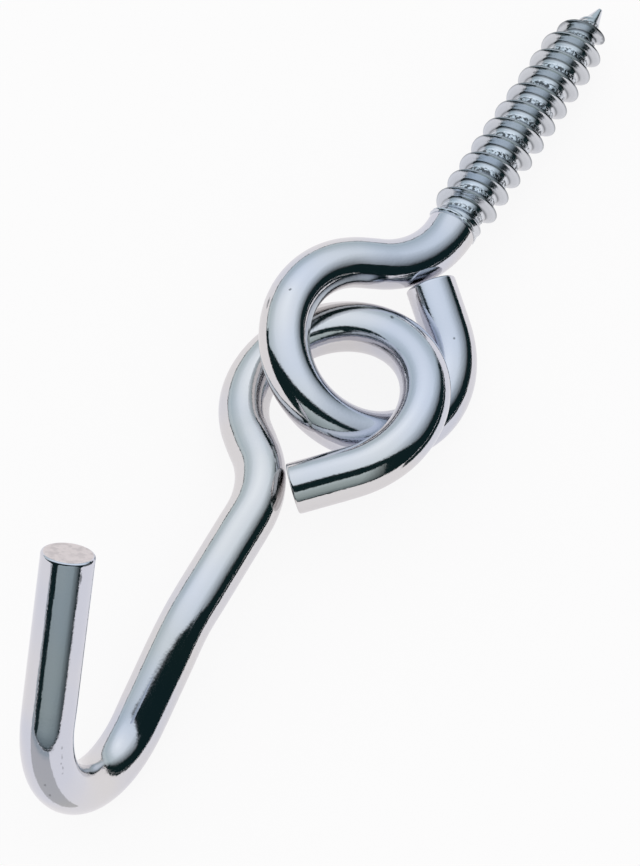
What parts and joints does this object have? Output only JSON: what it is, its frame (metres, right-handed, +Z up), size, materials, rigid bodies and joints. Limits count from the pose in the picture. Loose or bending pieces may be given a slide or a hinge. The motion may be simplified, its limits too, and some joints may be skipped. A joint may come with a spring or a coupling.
{
  "type": "screw hook with linked eyes",
  "caption": "Screw eye of bright plated steel wire with a wood thread, linked through its eye to an open J hook that swings in it and carries a hung load.",
  "frame": {"origin": "on the screw's axis, at the shoulder where the thread meets the plain wire", "axes": "the part lies as it comes to rest: +Z is up from the surface under it, +X runs along the surface towards the screw's point, and +Y is the side that the hook's tip leans to"},
  "size_m": [0.1715, 0.0348, 0.0499],
  "materials": {
    "zinc_screw": "bright zinc plating, scuffed on the thread",
    "zinc_hook": "bright zinc plating"
  },
  "bodies": {
    "screw": {"screw_eye": "zinc_screw"},
    "hook": {"eye_hook": "zinc_hook"}
  },
  "joints": [
    {"name": "hook_swing", "type": "hinge", "parent": "screw", "child": "hook", "pos_m": [-0.03734, 0.0002, 0.00145], "axis": [-0.0079, 0.3295, 0.9441], "range_deg": [-125, 150]}
  ]
}
